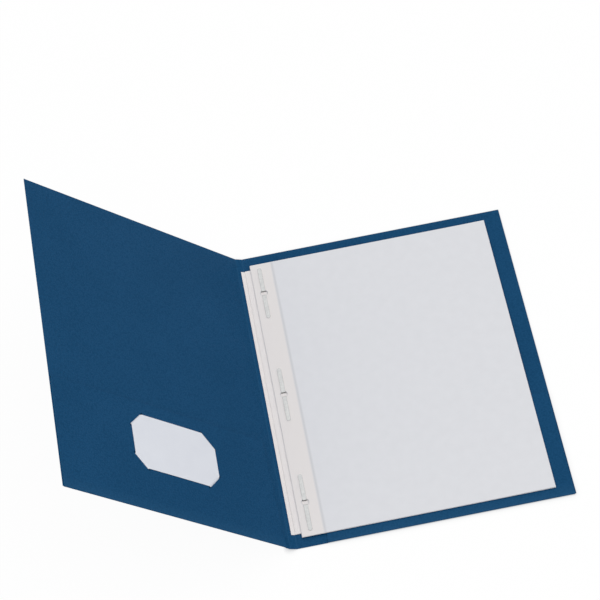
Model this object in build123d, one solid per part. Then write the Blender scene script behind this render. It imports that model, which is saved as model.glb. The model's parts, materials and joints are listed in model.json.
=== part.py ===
from build123d import *
import os
from math import sqrt

# Two pocket report folder lying open, back cover flat and front cover raised.
# Lengths in millimetres, angles in degrees.
# Origin at the centre of the back cover's outer face, +X to its fore-edge, +Y to the head, +Z up.

# Cover blank
cover_height = 298.5
cover_width = 237.75  # crease line to fore-edge
stock = 0.5  # thickness of the grained card
crease_fold = 23.9  # bend at each of the two creases as the folder stands open
crease_gap = 0.05  # between a crease and the panel edges beside it

# Pockets
pocket_height = 101.6
pocket_inset = 1.0  # pocket's side, in from the fore-edge
pocket_spine_margin = 5.0  # crease line to the foot of the front cover's pocket
pocket_strip_gap = 1.2  # fastener strip to the foot of the back cover's pocket
pocket_taper = 6.0  # how much further from the crease line the pocket's mouth ends
tab_width = 15.0
tab_mouth_margin = 2.5  # mouth of the pocket to the end of its glue tab

# Business card and the slits that hold its corners
card_width = 88.9
card_height = 50.8
card_thickness = 0.3
card_ease = 0.1  # free space on each side of a tucked corner inside the pocket
card_lift = 0.05  # between the card and the face of the pocket
card_from_crease = 114.3  # crease line to the card's centre
card_from_foot = 64.1  # foot of the cover to the card's centre
corner_leg = 13.0  # side of the corner that goes behind the pocket
slit_width = 2.4
slit_overrun = 1.2  # each end of a slit, beyond the card's edge

# Sheets
sheet_width = 215.9
sheet_height = 279.4
sheet_thickness = 0.1
stack_thickness = 1.0
sheet_from_crease = 6.1
sheet_from_foot = 8.9
hole_from_edge = 7.8
hole_pitch = 107.95
hole_ease = 0.5  # punched hole beyond the corners of the legs in it
margin_width = 19.8  # bound margin of the top sheet, from its edge to its own crease
leaf_gap = 0.1  # top sheet's crease line to each of its two parts

# Fasteners and their strip
metal = 0.35
tang_width = 3.6
tang_length = 25.0
leg_pitch = 4.4
base_width = 9.0
base_length = 8.0
bend_gap = 0.05  # between the top of a leg and its tang
tang_lift = 0.05  # between a flat tang and the top sheet
slot_ease = 0.2  # slots of the strip around the legs, and its recess around the base
strip_from_crease = 0.8
strip_far_margin = 11.15  # holes to the strip's far edge
strip_height = 271.0

closing_gap = 2.15  # room for more sheets, left between the contents of the two covers when shut

# Levels, up from the outer face of a cover that lies flat
pocket_gap = card_thickness + 2 * card_ease
pocket_under = stock + pocket_gap
pocket_top = pocket_under + stock
fold_radius = pocket_top / 2
stack_top = pocket_top + stack_thickness
sheet_top = stack_top + sheet_thickness
tang_under = sheet_top + tang_lift
bend_level = tang_under + metal / 2
card_front_level = pocket_top + card_lift
card_rear_level = stock + card_ease

# Places in the plane of the covers
spine_width = tang_under + metal + card_front_level + card_thickness + closing_gap - stock
crease_radius = stock / 2
panel_setback = crease_radius + crease_gap
back_crease_x = -cover_width / 2
front_crease_x = back_crease_x - spine_width
foot_y = -cover_height / 2
head_y = cover_height / 2
fold_y = foot_y + fold_radius
mouth_y = foot_y + pocket_height
pocket_side = cover_width - pocket_inset
sheet_near_x = back_crease_x + sheet_from_crease
sheet_far_x = sheet_near_x + sheet_width
hole_x = sheet_near_x + hole_from_edge
sheet_y = foot_y + sheet_from_foot + sheet_height / 2
hole_rows = {"upper": sheet_y + hole_pitch, "middle": sheet_y, "lower": sheet_y - hole_pitch}
hole_radius = sqrt((leg_pitch / 2 + metal / 2) ** 2 + (tang_width / 2) ** 2) + hole_ease
leaf_crease_x = sheet_near_x + margin_width
strip_far_edge = sheet_from_crease + hole_from_edge + strip_far_margin
pocket_starts = {1: strip_far_edge + pocket_strip_gap, -1: pocket_spine_margin}


def across(side, from_crease):
    # Place across a cover, from its crease line: side 1 is the back cover, -1 the front one.
    crease_x = back_crease_x if side > 0 else front_crease_x
    return crease_x + side * from_crease


def block(x_ends, y_ends, z_ends):
    spans = [abs(ends[1] - ends[0]) for ends in (x_ends, y_ends, z_ends)]
    middles = [sum(ends) / 2 for ends in (x_ends, y_ends, z_ends)]
    return Pos(*middles) * Box(*spans)


def plate(outline, under, thickness):
    corners = [(x, y, under) for x, y in outline]
    return extrude(make_face(Polyline(*corners, close=True)), amount=thickness, dir=(0, 0, 1))


def rod(x_middle, y, z, radius, length):
    return Pos(x_middle, y, z) * Rot(0, 90, 0) * Cylinder(radius, length)


def cover(side):
    # The foot is cut back by the fold's radius where the pocket folds up from it.
    outline = [
        (panel_setback, foot_y),
        (pocket_starts[side], foot_y),
        (pocket_starts[side], fold_y),
        (cover_width, fold_y),
        (cover_width, head_y),
        (panel_setback, head_y),
    ]
    return plate([(across(side, u), y) for u, y in outline], 0, stock)


def crease(crease_x):
    return Pos(crease_x, 0, stock / 2) * Rot(90, 0, 0) * Cylinder(crease_radius, cover_height)


def spine_panel():
    ends = (front_crease_x + panel_setback, back_crease_x - panel_setback)
    return block(ends, (foot_y, head_y), (0, stock))


def pocket(side):
    outline = [
        (pocket_starts[side], fold_y),
        (pocket_side, fold_y),
        (pocket_side, mouth_y),
        (pocket_starts[side] + pocket_taper, mouth_y),
    ]
    return plate([(across(side, u), y) for u, y in outline], pocket_under, stock)


def pocket_fold(side):
    ends = (across(side, pocket_starts[side]), across(side, pocket_side))
    middle = sum(ends) / 2
    length = abs(ends[1] - ends[0])
    outer = rod(middle, fold_y, fold_radius, fold_radius, length)
    inner = rod(middle, fold_y, fold_radius, fold_radius - stock, length)
    return (outer - inner) & block(ends, (foot_y, fold_y), (0, pocket_top))


def glue_tab(side):
    ends = (across(side, pocket_side - tab_width), across(side, pocket_side))
    return block(ends, (fold_y, mouth_y - tab_mouth_margin), (stock, pocket_under))


def card_corners():
    # One plane per corner: origin where the corner starts to dip, x out to the corner, y up.
    centre_x = across(-1, card_from_crease)
    centre_y = foot_y + card_from_foot
    for sx in (-1, 1):
        for sy in (-1, 1):
            out = Vector(sx, sy, 0).normalized()
            corner = Vector(centre_x + sx * card_width / 2, centre_y + sy * card_height / 2, 0)
            start = corner - out * (corner_leg / sqrt(2))
            yield Plane(origin=start, x_dir=out, z_dir=(out.Y, -out.X, 0))


def crosswise(plane, profile, half_length):
    return extrude(plane * make_face(Polyline(*profile, close=True)), amount=half_length, both=True)


def slit_pocket():
    panel = pocket(-1)
    half_length = corner_leg / sqrt(2) + slit_overrun
    slit = [(0, pocket_under), (slit_width, pocket_under), (slit_width, pocket_top), (0, pocket_top)]
    for plane in card_corners():
        panel -= crosswise(plane, slit, half_length)
    return panel


def business_card():
    # The middle lies on the pocket; each corner dips through its slit and lies inside.
    x_ends = [across(-1, card_from_crease) + sx * card_width / 2 for sx in (-1, 1)]
    y_ends = [foot_y + card_from_foot + sy * card_height / 2 for sy in (-1, 1)]
    blank = block(x_ends, y_ends, (0, pocket_top + card_thickness + stock))
    outline = [
        (x_ends[0] + corner_leg, y_ends[0]),
        (x_ends[1] - corner_leg, y_ends[0]),
        (x_ends[1], y_ends[0] + corner_leg),
        (x_ends[1], y_ends[1] - corner_leg),
        (x_ends[1] - corner_leg, y_ends[1]),
        (x_ends[0] + corner_leg, y_ends[1]),
        (x_ends[0], y_ends[1] - corner_leg),
        (x_ends[0], y_ends[0] + corner_leg),
    ]
    card = plate(outline, card_front_level, card_thickness)
    dip = [
        (0, card_front_level),
        (slit_width, card_rear_level),
        (corner_leg, card_rear_level),
        (corner_leg, card_rear_level + card_thickness),
        (slit_width, card_rear_level + card_thickness),
        (0, card_front_level + card_thickness),
    ]
    for plane in card_corners():
        card += crosswise(plane, dip, corner_leg) & blank
    return card


def punched(sheet, under, top):
    for row_y in hole_rows.values():
        sheet -= Pos(hole_x, row_y, (under + top) / 2) * Cylinder(hole_radius, top - under)
    return sheet


def sheet_block(x_ends, under, top):
    return block(x_ends, (sheet_y - sheet_height / 2, sheet_y + sheet_height / 2), (under, top))


def paper_stack():
    stack = sheet_block((sheet_near_x, sheet_far_x), pocket_top, stack_top)
    return punched(stack, pocket_top, stack_top)


def sheet_margin():
    margin = sheet_block((sheet_near_x, leaf_crease_x - leaf_gap), stack_top, sheet_top)
    return punched(margin, stack_top, sheet_top)


def sheet_leaf():
    return sheet_block((leaf_crease_x + leaf_gap, sheet_far_x), stack_top, sheet_top)


def leg_places(row_y):
    return [row_y - leg_pitch / 2, row_y + leg_pitch / 2]


def tang_strip():
    # Built up level with the pocket, recessed for the bases below and slotted for the legs.
    x_ends = (back_crease_x + strip_from_crease, back_crease_x + strip_far_edge)
    strip = block(x_ends, (sheet_y - strip_height / 2, sheet_y + strip_height / 2), (stock, pocket_top))
    recess = [base_width / 2 + slot_ease, base_length / 2 + slot_ease]
    slot = [tang_width / 2 + slot_ease, metal / 2 + slot_ease]
    for row_y in hole_rows.values():
        strip -= around(row_y, recess, (stock, stock + metal))
        for leg_y in leg_places(row_y):
            strip -= around(leg_y, slot, (stock, pocket_top))
    return strip


def around(y, halves, z_ends):
    return block((hole_x - halves[0], hole_x + halves[0]), (y - halves[1], y + halves[1]), z_ends)


def fastener(row_y):
    # Base plate with two upright legs, each rounded where its tang bends.
    body = around(row_y, [base_width / 2, base_length / 2], (stock, stock + metal))
    for leg_y in leg_places(row_y):
        body += around(leg_y, [tang_width / 2, metal / 2], (stock, bend_level))
        body += rod(hole_x, leg_y, bend_level, metal / 2, tang_width)
    return body


def tang(leg_y, way):
    # Lies flat along the margin, way 1 towards the head and -1 towards the foot, with a round tip.
    half = tang_width / 2
    root = leg_y + way * (metal / 2 + bend_gap)
    shoulder = leg_y + way * (tang_length - half)
    tip = leg_y + way * tang_length
    left, right = hole_x - half, hole_x + half
    sides = Polyline((left, shoulder), (left, root), (right, root), (right, shoulder))
    end = ThreePointArc((right, shoulder), (hole_x, tip), (left, shoulder))
    return extrude(Pos(0, 0, tang_under) * make_face(sides + end), amount=metal, dir=(0, 0, 1))


def raise_spine(shape):
    return shape.rotate(Axis((back_crease_x, 0, stock / 2), (0, 1, 0)), crease_fold)


def raise_front(shape):
    return raise_spine(shape.rotate(Axis((front_crease_x, 0, stock / 2), (0, 1, 0)), crease_fold))


nodes = {
    "back_cover": cover(1),
    "back_crease": crease(back_crease_x),
    "right_pocket": pocket(1),
    "right_pocket_fold": pocket_fold(1),
    "right_pocket_tab": glue_tab(1),
    "tang_strip": tang_strip(),
    "paper_stack": paper_stack(),
    "sheet_margin": sheet_margin(),
    "sheet_leaf": sheet_leaf(),
    "spine_panel": raise_spine(spine_panel()),
    "front_crease": raise_spine(crease(front_crease_x)),
    "front_cover": raise_front(cover(-1)),
    "left_pocket": raise_front(slit_pocket()),
    "left_pocket_fold": raise_front(pocket_fold(-1)),
    "left_pocket_tab": raise_front(glue_tab(-1)),
    "business_card": raise_front(business_card()),
}
for row, row_y in hole_rows.items():
    lower_leg, upper_leg = leg_places(row_y)
    nodes[row + "_fastener"] = fastener(row_y)
    nodes[row + "_head_tang"] = tang(upper_leg, 1)
    nodes[row + "_foot_tang"] = tang(lower_leg, -1)

os.makedirs("parts", exist_ok=True)
for name, shape in nodes.items():
    shape.label = name
    export_step(shape, "parts/" + name + ".step")
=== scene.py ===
import json
from math import atan2, exp, pi, radians, sin
from random import Random

import bmesh
import bpy
from mathutils import Matrix, Vector


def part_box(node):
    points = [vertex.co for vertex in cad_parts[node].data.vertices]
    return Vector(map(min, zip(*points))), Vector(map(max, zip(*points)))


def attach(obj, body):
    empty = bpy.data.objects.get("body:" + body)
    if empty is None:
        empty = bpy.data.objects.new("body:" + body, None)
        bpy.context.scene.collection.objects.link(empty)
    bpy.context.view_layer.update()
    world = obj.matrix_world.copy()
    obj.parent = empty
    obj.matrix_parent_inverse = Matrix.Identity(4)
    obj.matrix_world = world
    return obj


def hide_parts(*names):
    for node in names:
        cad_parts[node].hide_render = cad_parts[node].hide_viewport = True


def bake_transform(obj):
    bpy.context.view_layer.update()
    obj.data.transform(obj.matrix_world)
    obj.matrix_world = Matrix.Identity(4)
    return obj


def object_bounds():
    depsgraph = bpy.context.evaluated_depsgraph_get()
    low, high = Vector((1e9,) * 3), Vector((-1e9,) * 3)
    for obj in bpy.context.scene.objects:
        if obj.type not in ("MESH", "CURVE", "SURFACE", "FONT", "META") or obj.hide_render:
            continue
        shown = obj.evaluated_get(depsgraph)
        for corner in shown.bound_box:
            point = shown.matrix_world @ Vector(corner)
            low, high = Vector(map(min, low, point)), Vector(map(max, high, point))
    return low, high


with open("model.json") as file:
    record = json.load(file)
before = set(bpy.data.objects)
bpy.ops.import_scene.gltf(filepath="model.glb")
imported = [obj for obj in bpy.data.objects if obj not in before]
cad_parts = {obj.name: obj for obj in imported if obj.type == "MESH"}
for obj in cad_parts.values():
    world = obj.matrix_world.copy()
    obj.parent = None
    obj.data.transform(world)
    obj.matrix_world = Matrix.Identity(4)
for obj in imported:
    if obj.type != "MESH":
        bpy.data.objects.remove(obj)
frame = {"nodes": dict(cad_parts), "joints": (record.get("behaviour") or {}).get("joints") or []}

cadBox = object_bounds()
mm = 0.001
touch = 0.001 * mm  # points nearer than this are in one place
joints = {joint["name"]: joint for joint in frame["joints"]}


# how the covers fold: everything on them is drawn with the folder open flat, then lifted into place
backAxis = Vector(joints["cover_swing"]["pos_m"])
frontAxis = Vector(joints["front_crease_fold"]["pos_m"])
restFold = radians(joints["cover_swing"]["range_deg"][1])  # bend of each crease in the photo
spineWidth = (frontAxis - backAxis).length
flatFrontAxis = backAxis - Vector((spineWidth, 0, 0))


def turnAbout(pivot, angle):  # round a line along the spine
    return Matrix.Translation(pivot) @ Matrix.Rotation(angle, 4, "Y") @ Matrix.Translation(-pivot)


liftSpine = turnAbout(backAxis, restFold)
liftFront = liftSpine @ turnAbout(flatFrontAxis, restFold)


def flatBox(node, lift):  # a node's box with the folder open flat
    back = lift.inverted()
    corners = [back @ v.co for v in frame["nodes"][node].data.vertices]
    low = Vector([min(c[i] for c in corners) for i in range(3)])
    high = Vector([max(c[i] for c in corners) for i in range(3)])
    return low, high


def smooth(t):  # the same easing as a blended joint
    t = min(max(t, 0), 1)
    return t * t * (3 - 2 * t)


# small mesh helpers
thinEdge = {"segments": 2, "sharpest": 50}  # rounding of every thin piece's edges, from this angle up


def once(parts):  # each part once, in the order met
    return list(dict.fromkeys(parts))


def extrudeRow(bm, edges, step):
    made = bmesh.ops.extrude_edge_only(bm, edges=edges)["geom"]
    verts = {v for v in made if isinstance(v, bmesh.types.BMVert)}
    bmesh.ops.translate(bm, verts=list(verts), vec=step)
    return [e for e in made if isinstance(e, bmesh.types.BMEdge) and set(e.verts) <= verts]


def spinRow(bm, edges, centre, axis, angle, steps):
    geom = once(v for e in edges for v in e.verts) + edges
    made = bmesh.ops.spin(bm, geom=geom, cent=centre, axis=axis, angle=angle, steps=steps)["geom_last"]
    return [e for e in made if isinstance(e, bmesh.types.BMEdge)]


def startRow(bm, first, last, cuts):
    edge = bm.edges.new([bm.verts.new(first), bm.verts.new(last)])
    bmesh.ops.subdivide_edges(bm, edges=[edge], cuts=cuts)
    return bm.edges[:]


def cutAcross(bm, faces, point, normal):
    edges = once(e for f in faces for e in f.edges)
    verts = once(v for f in faces for v in f.verts)
    geom = verts + edges + faces
    bmesh.ops.bisect_plane(bm, geom=geom, dist=touch / 10, plane_co=point, plane_no=normal)


def makePiece(name, bm, materials, lift=None, rounded=True):
    bmesh.ops.recalc_face_normals(bm, faces=bm.faces[:])
    mesh = bpy.data.meshes.new(name)
    for face in bm.faces:
        face.smooth = rounded
    bm.to_mesh(mesh)
    bm.free()
    if lift:
        mesh.transform(lift)
    for material in materials:
        mesh.materials.append(material)
    piece = bpy.data.objects.new(name, mesh)
    bpy.context.scene.collection.objects.link(piece)
    return piece


def thicken(piece, thickness, rounding, rim=0):
    wall = piece.modifiers.new("thickness", "SOLIDIFY")
    wall.thickness = thickness
    wall.offset = 0
    wall.use_even_offset = True
    wall.material_offset_rim = rim
    edge = piece.modifiers.new("edges", "BEVEL")
    edge.width = rounding
    edge.segments = thinEdge["segments"]
    edge.limit_method = "ANGLE"
    edge.angle_limit = radians(thinEdge["sharpest"])
    edge.harden_normals = True
    edge.material = -1


# materials
def linear(hexColour):
    parts = [int(hexColour[i:i + 2], 16) / 255 for i in (1, 3, 5)]
    return [p / 12.92 if p <= 0.04045 else ((p + 0.055) / 1.055) ** 2.4 for p in parts] + [1]


# a key in settings is one of the node's own settings, or the name or number of an input
def addNode(tree, kind, settings=None, links=None):
    node = tree.nodes.new(kind)
    for key, value in (settings or {}).items():
        if isinstance(key, str) and hasattr(node, key):
            setattr(node, key, value)
        else:
            node.inputs[key].default_value = value
    for key, source in (links or {}).items():
        tree.links.new(source, node.inputs[key])
    return node


def newMaterial(name):
    material = bpy.data.materials.new(name)
    material.use_nodes = True
    tree = material.node_tree
    return material, tree, tree.nodes["Principled BSDF"]


def perMetre(millimetres):  # texture scale for a feature of that size
    return 1 / (millimetres * mm)


# leather-grain embossed card, dyed through: dull pebbled blue that catches soft light on its grain, its
# grain hollows painted darker as shade
coverLook = {"paintedHollowShade": "#073d61", "top": "#124a73", "worn": "#2f5c80", "grainMm": 1.3, "waverMm": 0.6,
             "fibreMm": 0.35, "cloudMm": 70, "reliefMm": 0.09, "bump": 0.6, "softness": 0.6,
             "cloudShare": 0.5, "fibreShare": 0.12, "roughest": 0.68, "smoothest": 0.5, "gloss": 0.09}


def coverStock():
    look = coverLook
    material, tree, shader = newMaterial("leatherGrainCard")
    spot = addNode(tree, "ShaderNodeTexCoord").outputs["UV"]
    waver = addNode(tree, "ShaderNodeTexNoise", {"Scale": perMetre(look["grainMm"] * 2), "Detail": 2},
                    {"Vector": spot})
    bent = addNode(tree, "ShaderNodeMix", {"data_type": "VECTOR", 0: look["waverMm"] * mm},
                   {4: spot, 5: waver.outputs["Color"]})
    grain = addNode(tree, "ShaderNodeTexVoronoi",
                    {"feature": "SMOOTH_F1", "Smoothness": look["softness"],
                     "Scale": perMetre(look["grainMm"])},
                    {"Vector": bent.outputs[1]})
    fibre = addNode(tree, "ShaderNodeTexNoise", {"Scale": perMetre(look["fibreMm"]), "Detail": 3},
                    {"Vector": spot})
    cloud = addNode(tree, "ShaderNodeTexNoise", {"Scale": perMetre(look["cloudMm"]), "Detail": 2},
                    {"Vector": spot})
    # colour runs from the grain's tops, painted lighter, to its hollows, painted darker as shade, with a
    # random cloudy tone mixed in
    shade = addNode(tree, "ShaderNodeMath", {"operation": "MULTIPLY_ADD", 1: look["cloudShare"]},
                    {0: cloud.outputs["Fac"], 2: grain.outputs["Distance"]})
    colour = addNode(tree, "ShaderNodeMix",
                     {"data_type": "RGBA", 6: linear(look["top"]), 7: linear(look["paintedHollowShade"])},
                     {0: shade.outputs[0]})
    wear = addNode(tree, "ShaderNodeAttribute", {"attribute_name": "wear"})
    rubbed = addNode(tree, "ShaderNodeMath", {"operation": "MULTIPLY"},
                     {0: wear.outputs["Fac"], 1: fibre.outputs["Fac"]})
    worn = addNode(tree, "ShaderNodeMix", {"data_type": "RGBA", 7: linear(look["worn"])},
                   {0: rubbed.outputs[0], 6: colour.outputs[2]})
    rough = addNode(tree, "ShaderNodeMapRange", {"To Min": look["smoothest"], "To Max": look["roughest"]},
                    {"Value": shade.outputs[0]})
    height = addNode(tree, "ShaderNodeMath", {"operation": "MULTIPLY_ADD", 1: -look["fibreShare"]},
                     {0: fibre.outputs["Fac"], 2: grain.outputs["Distance"]})
    relief = addNode(tree, "ShaderNodeBump",
                     {"Strength": look["bump"], "Distance": look["reliefMm"] * mm, "invert": True},
                     {"Height": height.outputs[0]})
    tree.links.new(worn.outputs[2], shader.inputs["Base Color"])
    tree.links.new(rough.outputs[0], shader.inputs["Roughness"])
    tree.links.new(relief.outputs[0], shader.inputs["Normal"])
    shader.inputs["Specular IOR Level"].default_value = look["gloss"]
    return material


# cut edge of the same card: paler, furry paper fibre
edgeLook = {"dark": "#0f4266", "pale": "#2f6288", "fibreMm": 0.25, "reliefMm": 0.03, "bump": 0.4,
            "roughness": 0.88, "gloss": 0.09}


def cutEdge():
    look = edgeLook
    material, tree, shader = newMaterial("cutCardEdge")
    spot = addNode(tree, "ShaderNodeTexCoord").outputs["Object"]
    fibre = addNode(tree, "ShaderNodeTexNoise", {"Scale": perMetre(look["fibreMm"]), "Detail": 2},
                    {"Vector": spot})
    colour = addNode(tree, "ShaderNodeMix",
                     {"data_type": "RGBA", 6: linear(look["dark"]), 7: linear(look["pale"])},
                     {0: fibre.outputs["Fac"]})
    relief = addNode(tree, "ShaderNodeBump",
                     {"Strength": look["bump"], "Distance": look["reliefMm"] * mm},
                     {"Height": fibre.outputs["Fac"]})
    tree.links.new(colour.outputs[2], shader.inputs["Base Color"])
    tree.links.new(relief.outputs[0], shader.inputs["Normal"])
    shader.inputs["Roughness"].default_value = look["roughness"]
    shader.inputs["Specular IOR Level"].default_value = look["gloss"]
    return material


# white papers: matt, faintly clouded by the felt of the machine, next to no gloss
paperBump = 0.25
# margin is a lighter, warmer tint painted as light on the bound margin; crease is a grey painted as shade
# along the top sheet's crease
bondLook = {"shade": "#d5d6da", "light": "#dbdce0", "margin": "#dfdbda", "crease": "#c9cace", "cloudMm": 9,
            "fibreMm": 0.5, "reliefMm": 0.02, "roughness": 0.9, "gloss": 0.25}
stackLook = {"shade": "#cfd0d4", "light": "#dcdde1", "cloudMm": 6, "fibreMm": 0.3, "reliefMm": 0.03,
             "roughness": 0.92, "gloss": 0.2}
stripLook = {"shade": "#dfdad9", "light": "#e7e3e2", "cloudMm": 7, "fibreMm": 0.4, "reliefMm": 0.03,
             "roughness": 0.85, "gloss": 0.3}
cardLook = {"shade": "#d4d7df", "light": "#dbdee5", "cloudMm": 14, "fibreMm": 0.3, "reliefMm": 0.008,
            "roughness": 0.55, "gloss": 0.45}


def whitePaper(name, look, space):
    material, tree, shader = newMaterial(name)
    spot = addNode(tree, "ShaderNodeTexCoord").outputs[space]
    cloud = addNode(tree, "ShaderNodeTexNoise", {"Scale": perMetre(look["cloudMm"]), "Detail": 4},
                    {"Vector": spot})
    fibre = addNode(tree, "ShaderNodeTexNoise", {"Scale": perMetre(look["fibreMm"]), "Detail": 2},
                    {"Vector": spot})
    colour = addNode(tree, "ShaderNodeMix",
                     {"data_type": "RGBA", 6: linear(look["shade"]), 7: linear(look["light"])},
                     {0: cloud.outputs["Fac"]})
    for area in ("margin", "crease"):  # the mesh marks the bound margin, tinted lighter and warmer as painted light, and the line of its crease, darkened as painted shade
        if area in look:
            marked = addNode(tree, "ShaderNodeAttribute", {"attribute_name": area})
            colour = addNode(tree, "ShaderNodeMix", {"data_type": "RGBA", 7: linear(look[area])},
                             {0: marked.outputs["Fac"], 6: colour.outputs[2]})
    relief = addNode(tree, "ShaderNodeBump",
                     {"Strength": paperBump, "Distance": look["reliefMm"] * mm},
                     {"Height": fibre.outputs["Fac"]})
    tree.links.new(colour.outputs[2], shader.inputs["Base Color"])
    tree.links.new(relief.outputs[0], shader.inputs["Normal"])
    shader.inputs["Roughness"].default_value = look["roughness"]
    shader.inputs["Specular IOR Level"].default_value = look["gloss"]
    return material


# tin-plated steel strip: bright, drawn along its length, softly scratched
tinLook = {"dark": "#8a8b8d", "light": "#b0b1b0", "drawMm": 0.12, "drawStretch": 25, "drawShare": 0.35,
           "spangleMm": 2.5, "reliefMm": 0.01, "bump": 0.2, "smoothest": 0.24, "roughest": 0.4}


def tinPlate():
    look = tinLook
    material, tree, shader = newMaterial("tinPlatedSteel")
    spot = addNode(tree, "ShaderNodeTexCoord").outputs["Object"]
    slow = 1 / look["drawStretch"]
    along = addNode(tree, "ShaderNodeMapping", {"Scale": (1, slow, slow)}, {"Vector": spot})
    drawn = addNode(tree, "ShaderNodeTexNoise", {"Scale": perMetre(look["drawMm"]), "Detail": 2},
                    {"Vector": along.outputs[0]})
    spangle = addNode(tree, "ShaderNodeTexNoise", {"Scale": perMetre(look["spangleMm"]), "Detail": 3},
                      {"Vector": spot})
    mixed = addNode(tree, "ShaderNodeMath", {"operation": "MULTIPLY_ADD", 1: look["drawShare"]},
                    {0: drawn.outputs["Fac"], 2: spangle.outputs["Fac"]})
    colour = addNode(tree, "ShaderNodeMix",
                     {"data_type": "RGBA", 6: linear(look["dark"]), 7: linear(look["light"])},
                     {0: mixed.outputs[0]})
    rough = addNode(tree, "ShaderNodeMapRange", {"To Min": look["smoothest"], "To Max": look["roughest"]},
                    {"Value": mixed.outputs[0]})
    relief = addNode(tree, "ShaderNodeBump",
                     {"Strength": look["bump"], "Distance": look["reliefMm"] * mm},
                     {"Height": drawn.outputs["Fac"]})
    tree.links.new(colour.outputs[2], shader.inputs["Base Color"])
    tree.links.new(rough.outputs[0], shader.inputs["Roughness"])
    tree.links.new(relief.outputs[0], shader.inputs["Normal"])
    shader.inputs["Metallic"].default_value = 1
    return material


coverMaterial = coverStock()
edgeMaterial = cutEdge()
bondMaterial = whitePaper("bondPaper", bondLook, "UV")
stackMaterial = whitePaper("bondPaperStack", stackLook, "Object")
stripMaterial = whitePaper("stripCard", stripLook, "UV")
cardMaterial = whitePaper("visitingCard", cardLook, "Object")
tinMaterial = tinPlate()
print("materials made:", len(bpy.data.materials))


# sizes read from the frame
backLow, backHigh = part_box("back_cover")
stock = backHigh.z - backLow.z
foot, head = backLow.y, backHigh.y
coverWidth = backHigh.x - backAxis.x
pocketBoxes = {1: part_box("right_pocket"), -1: flatBox("left_pocket", liftFront)}
cardLow, cardHigh = flatBox("business_card", liftFront)
cardCentre = (cardLow + cardHigh) / 2
cardSize = cardHigh - cardLow
pocketUnder, pocketTop = pocketBoxes[1][0].z, pocketBoxes[1][1].z
foldY = pocketBoxes[1][0].y
mouthY = pocketBoxes[1][1].y
foldRadius = pocketTop / 2


# cover halves: each is one sheet from mid-spine, over its crease, round the foot and up the pocket
blank = {"rows": 20, "columns": 22, "bendHalf": 1.0 * mm, "bendSteps": 12, "foldSteps": 10, "taper": 6 * mm,
         "pocketRows": 10, "gape": 0.7 * mm, "gapePower": 1.5, "gapeSpread": 1.6, "rounding": 0.06 * mm,
         "wearCrease": 0.5, "wearReach": 1.2 * mm, "wearFold": 0.35}
slit = {"near": 0.3 * mm, "far": 1.7 * mm, "cornerLeg": 13 * mm, "overrun": 1.2 * mm, "searchShare": 2.5}


def creaseOf(side):  # side 1 is the back cover, -1 the front one
    return backAxis if side > 0 else flatFrontAxis


def pocketGape(x, y):  # the left pocket's mouth stands off a little where it isn't glued
    low, high = pocketBoxes[-1]
    along = max(0, (y - foldY) / (mouthY - foldY))
    free = max(0, (x - low.x) / (high.x - low.x))
    return blank["gape"] * along ** blank["gapePower"] * smooth(free * blank["gapeSpread"])


def slitCorners():  # start point and outward direction of each tucked corner
    for sx in (-1, 1):
        for sy in (-1, 1):
            out = Vector((sx, sy, 0)).normalized()
            corner = cardCentre + Vector((sx * cardSize.x / 2, sy * cardSize.y / 2, 0))
            yield corner - out * slit["cornerLeg"] / 2 ** 0.5, out


def bendStops(steps):  # evenly across the rounded bend of a crease
    return [blank["bendHalf"] * (2 * k / steps - 1) for k in range(steps + 1)]


def coverStops(start, end):  # distances from the crease line where the sheet has a row of points
    stops = [-spineWidth / 2] + bendStops(blank["bendSteps"])
    stops += [start + (end - start) * k / blank["columns"] for k in range(blank["columns"] + 1)]
    return stops + [coverWidth]


def footEdges(bm, side, nearest, furthest):  # along the cover's foot, between two distances from the crease
    found = []
    for e in bm.edges:
        along = [side * (v.co.x - creaseOf(side).x) for v in e.verts]
        atFoot = all(abs(v.co.y - foldY) < touch for v in e.verts)
        if atFoot and min(along) > nearest - touch and max(along) < furthest + touch:
            found.append(e)
    return found


def buildCover(name, side):
    low, high = pocketBoxes[side]
    crease = creaseOf(side)
    start, end = sorted(abs(x - crease.x) for x in (low.x, high.x))
    stops = coverStops(start, end)
    x = crease.x + side * stops[0]
    bm = bmesh.new()
    row = startRow(bm, (x, foldY, stock / 2), (x, head, stock / 2), blank["rows"])
    for here, after in zip(stops, stops[1:]):
        row = extrudeRow(bm, row, (side * (after - here), 0, 0))
    pocketFoot = footEdges(bm, side, start, end)
    extrudeRow(bm, footEdges(bm, side, stops[0], start), (0, foot - foldY, 0))
    row = spinRow(bm, pocketFoot, (0, foldY, foldRadius), (1, 0, 0), -pi, blank["foldSteps"])
    rise = (mouthY - foldY) / blank["pocketRows"]
    for step in range(blank["pocketRows"]):
        row = extrudeRow(bm, row, (0, rise, 0))
    panel = [f for f in bm.faces if all(v.co.z > pocketUnder and v.co.y > foldY - touch for v in f.verts)]
    for v in once(v for f in panel for v in f.verts):  # the free side leans away from the spine
        share = (end - side * (v.co.x - crease.x)) / (end - start)
        v.co.x += side * blank["taper"] * share * (v.co.y - foldY) / (mouthY - foldY)
    if side < 0:
        cutSlits(bm)
    unrollCover(bm, side, start)
    for v in bm.verts:
        if side < 0 and v.co.z > pocketUnder and v.co.y > foldY:
            v.co.z += pocketGape(v.co.x, v.co.y)
        along = side * (v.co.x - crease.x)
        bend = restFold * smooth((along + blank["bendHalf"]) / (2 * blank["bendHalf"]))
        v.co = turnAbout(crease, bend if side < 0 else restFold - bend) @ v.co
    lift = liftSpine if side < 0 else None
    piece = makePiece(name, bm, [coverMaterial, edgeMaterial], lift)
    thicken(piece, stock, blank["rounding"], rim=1)
    if side > 0:
        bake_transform(piece)
        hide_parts("back_cover", "back_crease", "spine_panel", "right_pocket", "right_pocket_fold")
    else:
        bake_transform(piece)
        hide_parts("front_cover", "front_crease", "spine_panel", "left_pocket", "left_pocket_fold")


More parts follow.
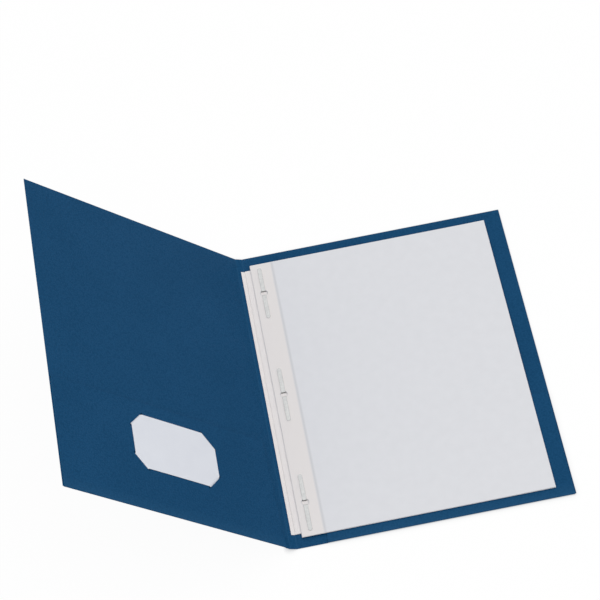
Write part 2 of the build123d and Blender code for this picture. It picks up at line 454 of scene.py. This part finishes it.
def cutSlits(bm):
    reach = slit["cornerLeg"] / 2 ** 0.5 + slit["overrun"]
    for start, out in slitCorners():
        across = Vector((out.y, -out.x, 0))
        lines = [(start + out * slit["near"], out), (start + out * slit["far"], out),
                 (start + across * reach, across), (start - across * reach, across)]
        for point, normal in lines:
            near = [f for f in bm.faces if f.calc_center_median().z > pocketUnder
                    and (f.calc_center_median().xy - start.xy).length < slit["searchShare"] * reach]
            cutAcross(bm, near, point, normal)
        gone = []
        for f in bm.faces:
            place = f.calc_center_median() - start
            inBand = slit["near"] < place.dot(out) < slit["far"] and abs(place.dot(across)) < reach
            if inBand and f.calc_center_median().z > pocketUnder:
                gone.append(f)
        bmesh.ops.delete(bm, geom=gone, context="FACES")


def flatY(co, turned):  # how far up the flat card a point lies, once its pocket is folded out
    arc = foldRadius - stock / 2
    if not turned and co.z < stock / 2 + touch:
        return co.y
    if co.y < foldY:
        return foldY - arc * atan2(foldY - co.y, foldRadius - co.z)
    return foldY - arc * pi - (co.y - foldY)


def unrollCover(bm, side, pocketStart):  # the flat pattern, in metres, and where the folds are rubbed
    uv = bm.loops.layers.uv.new("cut")
    wear = bm.verts.layers.float.new("wear")
    for v in bm.verts:
        along = side * (v.co.x - creaseOf(side).x)
        onFold = v.co.y < foldY + touch and along > pocketStart - touch and v.co.z > stock
        creaseWear = blank["wearCrease"] * max(0, 1 - abs(along) / blank["wearReach"])
        v[wear] = max(creaseWear, blank["wearFold"] if onFold else 0)
    for f in bm.faces:
        turned = f.calc_center_median().z > stock
        for loop in f.loops:
            loop[uv].uv = (loop.vert.co.x, flatY(loop.vert.co, turned))


buildCover("backCover", 1)
buildCover("frontCover", -1)
for node in ("right_pocket_tab", "left_pocket_tab"):
    frame["nodes"][node].data.materials.clear()
    frame["nodes"][node].data.materials.append(edgeMaterial)
print("covers and pockets made")


# business card, bowed a little between the four slits that hold its corners
card = {"columns": 44, "rows": 26, "bow": 0.35 * mm, "bowFade": 0.6, "lift": 0.06 * mm, "rear": 0.1 * mm,
        "cornerEase": 0.6, "thickness": 0.3 * mm, "rounding": 0.05 * mm}


def buildCard():
    bm = bmesh.new()
    place = Matrix.Translation((cardCentre.x, cardCentre.y, 0))
    place = place @ Matrix.Diagonal((cardSize.x, cardSize.y, 1, 1))
    bmesh.ops.create_grid(bm, x_segments=card["columns"], y_segments=card["rows"], size=0.5, matrix=place)
    for start, out in slitCorners():
        for reach in (slit["near"], slit["far"]):
            cutAcross(bm, bm.faces[:], start + out * reach, out)
    front = pocketTop + card["lift"] + card["thickness"] / 2
    drop = front - (stock + card["rear"] + card["thickness"] / 2)
    for v in bm.verts:
        reach = max((v.co.xy - start.xy).dot(out.xy) for start, out in slitCorners())
        share = min(max((reach - slit["near"]) / (slit["far"] - slit["near"]), 0), 1)
        nx = 2 * (v.co.x - cardCentre.x) / cardSize.x
        ny = 2 * (v.co.y - cardCentre.y) / cardSize.y
        bow = card["bow"] * max(0, 1 - nx * nx) * max(0, 1 - card["bowFade"] * ny * ny) * (1 - share)
        gape = pocketGape(v.co.x, v.co.y) * (1 - card["cornerEase"] * share)
        v.co.z = front - drop * share + bow + gape
    piece = makePiece("businessCard", bm, [cardMaterial], liftFront)
    thicken(piece, card["thickness"], card["rounding"])
    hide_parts("business_card")
    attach(piece, "front")


buildCard()
print("business card made")


# sheets: a knocked-up stack and the top one, which is creased beside the fasteners
stackLow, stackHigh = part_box("paper_stack")
topLow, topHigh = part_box("sheet_margin")
leafAxis = Vector(joints["leaf_turn"]["pos_m"])
tangs = {node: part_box(node) for node in frame["nodes"] if node.endswith("_tang")}
holeX = sum(sum(corner.x for corner in ends) / 2 for ends in tangs.values()) / len(tangs)
rows = {row: sum(joints[row + "_" + end + "_tang_bend"]["pos_m"][1] for end in ("head", "foot")) / 2
        for row in ("upper", "middle", "lower")}
bundle = {"sheets": 10, "thickness": 0.094 * mm, "holeRadius": 3.48 * mm, "holeSides": 40,
          "shuffle": 0.35 * mm, "seed": 11}
topSheet = {"creaseCuts": 39, "bendHalf": 2.0 * mm, "bendSteps": 12, "leafSteps": 40, "spring": 0.2 * mm,
            "springAt": 26 * mm, "curl": 0.5 * mm, "curlAlong": 6, "curlAcross": 4, "thickness": 0.1 * mm,
            "rounding": 0.02 * mm, "paintedCreaseShadeWidth": 1.8 * mm}


def punchedSheet(bm, near, far, low, high, z, farCuts):
    corners = [bm.verts.new(c) for c in ((near, low, z), (far, low, z), (far, high, z), (near, high, z))]
    edges = [bm.edges.new((corners[i], corners[(i + 1) % 4])) for i in range(4)]
    if farCuts:
        bmesh.ops.subdivide_edges(bm, edges=[edges[1]], cuts=farCuts)
    for rowY in rows.values():
        bmesh.ops.create_circle(bm, segments=bundle["holeSides"], radius=bundle["holeRadius"],
                                matrix=Matrix.Translation((holeX, rowY, z)))
    bmesh.ops.triangle_fill(bm, use_beauty=True, edges=bm.edges[:])


def buildStack():
    dice = Random(bundle["seed"])
    bm = bmesh.new()
    pitch = (stackHigh.z - stackLow.z) / bundle["sheets"]
    for k in range(bundle["sheets"]):
        loose = bmesh.new()
        z = stackLow.z + (k + 0.5) * pitch
        punchedSheet(loose, stackLow.x, stackHigh.x, stackLow.y, stackHigh.y, z, 0)
        slip = Vector([dice.uniform(-1, 1) * bundle["shuffle"] for i in range(2)] + [0])
        bmesh.ops.translate(loose, verts=loose.verts[:], vec=slip)
        leaf = bpy.data.meshes.new("loose")
        loose.to_mesh(leaf)
        loose.free()
        bm.from_mesh(leaf)
        bpy.data.meshes.remove(leaf)
    piece = makePiece("sheetStack", bm, [stackMaterial], rounded=False)
    wall = piece.modifiers.new("thickness", "SOLIDIFY")
    wall.thickness = bundle["thickness"]
    wall.offset = 0
    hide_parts("paper_stack")
    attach(piece, "back")


def buildTopSheet():
    half = topSheet["bendHalf"]
    bm = bmesh.new()
    z = (topLow.z + topHigh.z) / 2
    punchedSheet(bm, topLow.x, leafAxis.x - half, topLow.y, topHigh.y, z, topSheet["creaseCuts"])
    row = [e for e in bm.edges if all(abs(v.co.x - leafAxis.x + half) < touch for v in e.verts)]
    for step in range(topSheet["bendSteps"]):
        row = extrudeRow(bm, row, (2 * half / topSheet["bendSteps"], 0, 0))
    leafWidth = stackHigh.x - leafAxis.x - half
    for step in range(topSheet["leafSteps"]):
        row = extrudeRow(bm, row, (leafWidth / topSheet["leafSteps"], 0, 0))
    uv = bm.loops.layers.uv.new("cut")
    # the margin band is tinted as painted light and the crease line darkened as painted shade
    margin = bm.verts.layers.float.new("margin")
    crease = bm.verts.layers.float.new("crease")
    for f in bm.faces:
        for loop in f.loops:
            loop[uv].uv = loop.vert.co.xy
    for v in bm.verts:
        past = v.co.x - leafAxis.x
        v[margin] = 1 - smooth((past + half) / (2 * half))
        v[crease] = max(0, 1 - abs(past) / topSheet["paintedCreaseShadeWidth"])
        if past > 0:  # springs up a little past its crease, and its far corners curl
            reach = past / topSheet["springAt"]
            side = abs(2 * (v.co.y - leafAxis.y) / (topHigh.y - topLow.y))
            v.co.z += topSheet["spring"] * reach * exp(1 - reach)
            corner = (past / leafWidth) ** topSheet["curlAlong"] * side ** topSheet["curlAcross"]
            v.co.z += topSheet["curl"] * corner
    piece = makePiece("topSheet", bm, [bondMaterial])
    thicken(piece, topSheet["thickness"], topSheet["rounding"])
    reach = Vector((half, 0, 0))
    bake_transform(piece)
    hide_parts("sheet_margin", "sheet_leaf")


buildStack()
buildTopSheet()
print("sheets made")


# fastener strip: white card folded double, its lower ply glued over the crease on to the spine
stripLow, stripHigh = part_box("tang_strip")
strip = {"lap": 3.2 * mm, "ply": 0.4 * mm, "inset": 0.02 * mm, "foldSteps": 8, "bendSteps": 10, "cuts": 30,
         "rounding": 0.05 * mm, "slotEase": 0.2 * mm, "search": 20 * mm,
         "plyShift": 9}  # sets the two plies' patterns apart


def cutWindow(bm, low, high, upper):  # through one ply of the flat strip
    middle = (stripLow.z + stripHigh.z) / 2

    def inPly(face):
        return (face.calc_center_median().z > middle) == upper

    for point, normal in ((low, (1, 0, 0)), (high, (1, 0, 0)), (low, (0, 1, 0)), (high, (0, 1, 0))):
        near = [f for f in bm.faces if inPly(f) and abs(f.calc_center_median().y - low.y) < strip["search"]]
        cutAcross(bm, near, point, normal)
    gone = []
    for face in bm.faces:
        place = face.calc_center_median()
        if inPly(face) and low.x < place.x < high.x and low.y < place.y < high.y:
            gone.append(face)
    bmesh.ops.delete(bm, geom=gone, context="FACES")


def buildStrip():
    lowPly = stripLow.z + strip["inset"] + strip["ply"] / 2
    highPly = stripHigh.z - strip["inset"] - strip["ply"] / 2
    turn = (highPly - lowPly) / 2
    stops = [backAxis.x - strip["lap"]]
    stops += [backAxis.x + stop for stop in bendStops(strip["bendSteps"])]
    stops += [stripHigh.x - turn]
    bm = bmesh.new()
    row = startRow(bm, (stops[0], stripLow.y, lowPly), (stops[0], stripHigh.y, lowPly), strip["cuts"])
    for here, after in zip(stops, stops[1:]):
        row = extrudeRow(bm, row, (after - here, 0, 0))
    row = spinRow(bm, row, (stops[-1], 0, lowPly + turn), (0, 1, 0), -pi, strip["foldSteps"])
    extrudeRow(bm, row, (stripLow.x - stops[-1], 0, 0))
    ease = Vector((strip["slotEase"], strip["slotEase"], 0))
    for rowName in rows:  # the lower ply makes room for a base, the upper one has a slot for each leg
        low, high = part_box(rowName + "_fastener")
        cutWindow(bm, low - ease, high + ease, False)
        for end in ("head", "foot"):
            tangLow, tangHigh = tangs[rowName + "_" + end + "_tang"]
            reach = Vector(((tangHigh.x - tangLow.x) / 2, (tangHigh.z - tangLow.z) / 2, 0)) + ease
            leg = Vector(joints[rowName + "_" + end + "_tang_bend"]["pos_m"])
            cutWindow(bm, leg - reach, leg + reach, True)
    uv = bm.loops.layers.uv.new("cut")
    for f in bm.faces:
        for loop in f.loops:
            loop[uv].uv = (loop.vert.co.x + strip["plyShift"] * loop.vert.co.z, loop.vert.co.y)
    half = blank["bendHalf"]
    for v in bm.verts:
        bend = restFold * smooth((backAxis.x + half - v.co.x) / (2 * half))
        v.co = turnAbout(backAxis, bend) @ v.co
    piece = makePiece("fastenerStrip", bm, [stripMaterial])
    thicken(piece, strip["ply"], strip["rounding"])
    reach = Vector((half, 0, 0))
    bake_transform(piece)
    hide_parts("tang_strip")


buildStrip()
print("fastener strip made")


# fasteners: a base under the strip and two tangs bent flat over the sheets
fastener = {"bend": 0.6 * mm, "bendSteps": 6, "flatSteps": 10, "spring": 0.18 * mm, "rounding": 0.07 * mm,
            "tipSides": 8, "tipShare": 0.97, "legFoot": 0.2 * mm, "baseRounding": 0.1 * mm}


def buildBase(rowName):
    low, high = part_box(rowName + "_fastener")
    tangLow, tangHigh = tangs[rowName + "_head_tang"]
    metal = tangHigh.z - tangLow.z
    bm = bmesh.new()
    place = Matrix.Translation((holeX, rows[rowName], low.z + metal / 2))
    place = place @ Matrix.Diagonal((high.x - low.x, high.y - low.y, metal, 1))
    bmesh.ops.create_cube(bm, size=1, matrix=place)
    bmesh.ops.bevel(bm, geom=bm.edges[:], offset=fastener["baseRounding"],
                    segments=thinEdge["segments"], profile=0.5, affect="EDGES", material=-1)
    piece = makePiece(rowName + "FastenerBase", bm, [tinMaterial], rounded=False)
    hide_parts(rowName + "_fastener")
    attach(piece, "back")


def buildTang(rowName, end):
    node = rowName + "_" + end + "_tang"
    low, high = tangs[node]
    joint = joints[node + "_bend"]
    x, legY, bendZ = joint["pos_m"]
    way = joint["axis"][0]  # 1 towards the head, -1 towards the foot
    metal, halfWidth, turn = high.z - low.z, (high.x - low.x) / 2, fastener["bend"]
    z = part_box(rowName + "_fastener")[0].z + metal - fastener["legFoot"]
    length = (high.y - legY if way > 0 else legY - low.y) - turn
    bm = bmesh.new()
    row = startRow(bm, (x - halfWidth, legY, z), (x + halfWidth, legY, z), 1)
    row = extrudeRow(bm, row, (0, 0, bendZ - turn - z))
    centre = (x, legY + way * turn, bendZ - turn)
    row = spinRow(bm, row, centre, (1, 0, 0), -way * pi / 2, fastener["bendSteps"])
    for step in range(fastener["flatSteps"]):
        row = extrudeRow(bm, row, (0, way * length / fastener["flatSteps"], 0))
    tip = legY + way * (turn + length)
    for v in bm.verts:
        past = way * (v.co.y - legY) - turn
        if past > 0:
            v.co.z += fastener["spring"] * sin(pi * min(1, past / length))
    corners = [v for v in bm.verts if abs(v.co.y - tip) < touch and abs(v.co.x - x) > halfWidth / 2]
    bmesh.ops.bevel(bm, geom=corners, offset=halfWidth * fastener["tipShare"],
                    segments=fastener["tipSides"], profile=0.5, affect="VERTICES", material=-1)
    piece = makePiece(rowName + end.capitalize() + "Tang", bm, [tinMaterial])
    thicken(piece, metal, fastener["rounding"])
    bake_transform(piece)
    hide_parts(node)


for rowName in rows:
    buildBase(rowName)
    for end in ("head", "foot"):
        buildTang(rowName, end)
print("fasteners made")


# plain stage: white floor that keeps a faint shadow, partly painted in as a contact shadow, even sky and
# two soft boxes
stage = {"floorSize": 6, "floor": "#f4f4f4", "pale": "#f7f7f7", "toneMm": 2500, "roughness": 0.95,
         "paintedContactShadow": "#8f9298", "contactReach": 6 * mm, "whiteShare": 0.95, "sky": 0.5, "drop": 0.05 * mm}
lamps = {"overhead": {"at": (0, 0.4, 1.9), "aim": (0, 0, 0), "size": 4.0, "watts": 40},
         "front": {"at": (0.6, -1.4, 1.2), "aim": (-0.05, 0, 0.05), "size": 2.2, "watts": 8}}


def seenRay(tree):  # camera, mirror and glass rays see the white paper sweep
    path = addNode(tree, "ShaderNodeLightPath").outputs
    some = addNode(tree, "ShaderNodeMath", {"operation": "ADD"},
                   {0: path["Is Camera Ray"], 1: path["Is Glossy Ray"]})
    return addNode(tree, "ShaderNodeMath", {"operation": "ADD", "use_clamp": True},
                   {0: some.outputs[0], 1: path["Is Transmission Ray"]}).outputs[0]


# white paper sweep: dead matt; the white glow that camera rays see is greyed only close under what lies on
# it, a painted contact shadow
def sweepMaterial():
    material, tree, shader = newMaterial("paperSweep")
    spot = addNode(tree, "ShaderNodeTexCoord").outputs["Object"]
    tone = addNode(tree, "ShaderNodeTexNoise", {"Scale": perMetre(stage["toneMm"]), "Detail": 0},
                   {"Vector": spot})
    colour = addNode(tree, "ShaderNodeMix",
                     {"data_type": "RGBA", 6: linear(stage["floor"]), 7: linear(stage["pale"])},
                     {0: tone.outputs["Fac"]})
    tree.links.new(colour.outputs[2], shader.inputs["Base Color"])
    shader.inputs["Roughness"].default_value = stage["roughness"]
    # ambient occlusion greys the glow beside nearby pieces: painted contact shadow
    closeness = addNode(tree, "ShaderNodeAmbientOcclusion", {"Distance": stage["contactReach"]})
    white = addNode(tree, "ShaderNodeMix",
                    {"data_type": "RGBA", 6: linear(stage["paintedContactShadow"]), 7: (1, 1, 1, 1)},
                    {0: closeness.outputs["AO"]})
    glow = addNode(tree, "ShaderNodeEmission", {"Strength": 1}, {"Color": white.outputs[2]})
    share = addNode(tree, "ShaderNodeMath", {"operation": "MULTIPLY", 1: stage["whiteShare"]},
                    {0: seenRay(tree)})
    mixed = addNode(tree, "ShaderNodeMixShader", {},
                    {0: share.outputs[0], 1: shader.outputs[0], 2: glow.outputs[0]})
    tree.links.new(mixed.outputs[0], tree.nodes["Material Output"].inputs["Surface"])
    return material


def buildStage():
    bm = bmesh.new()
    bmesh.ops.create_grid(bm, x_segments=1, y_segments=1, size=stage["floorSize"] / 2,
                          matrix=Matrix.Translation((0, 0, cadBox[0].z - stage["drop"])))
    mesh = bpy.data.meshes.new("floor")
    bm.to_mesh(mesh)
    bm.free()
    mesh.materials.append(sweepMaterial())
    floor = bpy.data.objects.new("floor", mesh)
    bpy.context.scene.collection.objects.link(floor)

    world = bpy.data.worlds.new("studio")
    bpy.context.scene.world = world
    world.use_nodes = True
    sky = world.node_tree.nodes["Background"]
    sky.inputs["Color"].default_value = (1, 1, 1, 1)
    level = addNode(world.node_tree, "ShaderNodeMapRange", {"To Min": stage["sky"], "To Max": 1.0},
                    {"Value": seenRay(world.node_tree)})
    world.node_tree.links.new(level.outputs[0], sky.inputs["Strength"])

    for name, lamp in lamps.items():
        light = bpy.data.lights.new(name, "AREA")
        light.size = lamp["size"]
        light.energy = lamp["watts"]
        box = bpy.data.objects.new(name, light)
        box.location = lamp["at"]
        box.rotation_euler = (Vector(lamp["aim"]) - box.location).to_track_quat("-Z", "Y").to_euler()
        bpy.context.scene.collection.objects.link(box)


# the photo's long lens, held a little tilted
view = {"lensMm": 131.39, "sensorMm": 36, "stand": (-108.81 * mm, -983.23 * mm, 1636.84 * mm),
        "heading": 1.827, "elevation": 56.63, "roll": -9.552}


def buildCamera():
    data = bpy.data.cameras.new("camera")
    data.lens = view["lensMm"]
    data.sensor_width = view["sensorMm"]
    camera = bpy.data.objects.new("camera", data)
    turn = Matrix.Rotation(radians(-view["heading"]), 4, "Z")
    turn = turn @ Matrix.Rotation(radians(90 - view["elevation"]), 4, "X")
    turn = turn @ Matrix.Rotation(radians(view["roll"]), 4, "Z")
    camera.matrix_world = Matrix.Translation(view["stand"]) @ turn
    bpy.context.scene.collection.objects.link(camera)
    bpy.context.scene.camera = camera


buildStage()
buildCamera()
bpy.context.scene.view_settings.view_transform = "Standard"
print("stage and camera set")

bpy.context.view_layer.update()
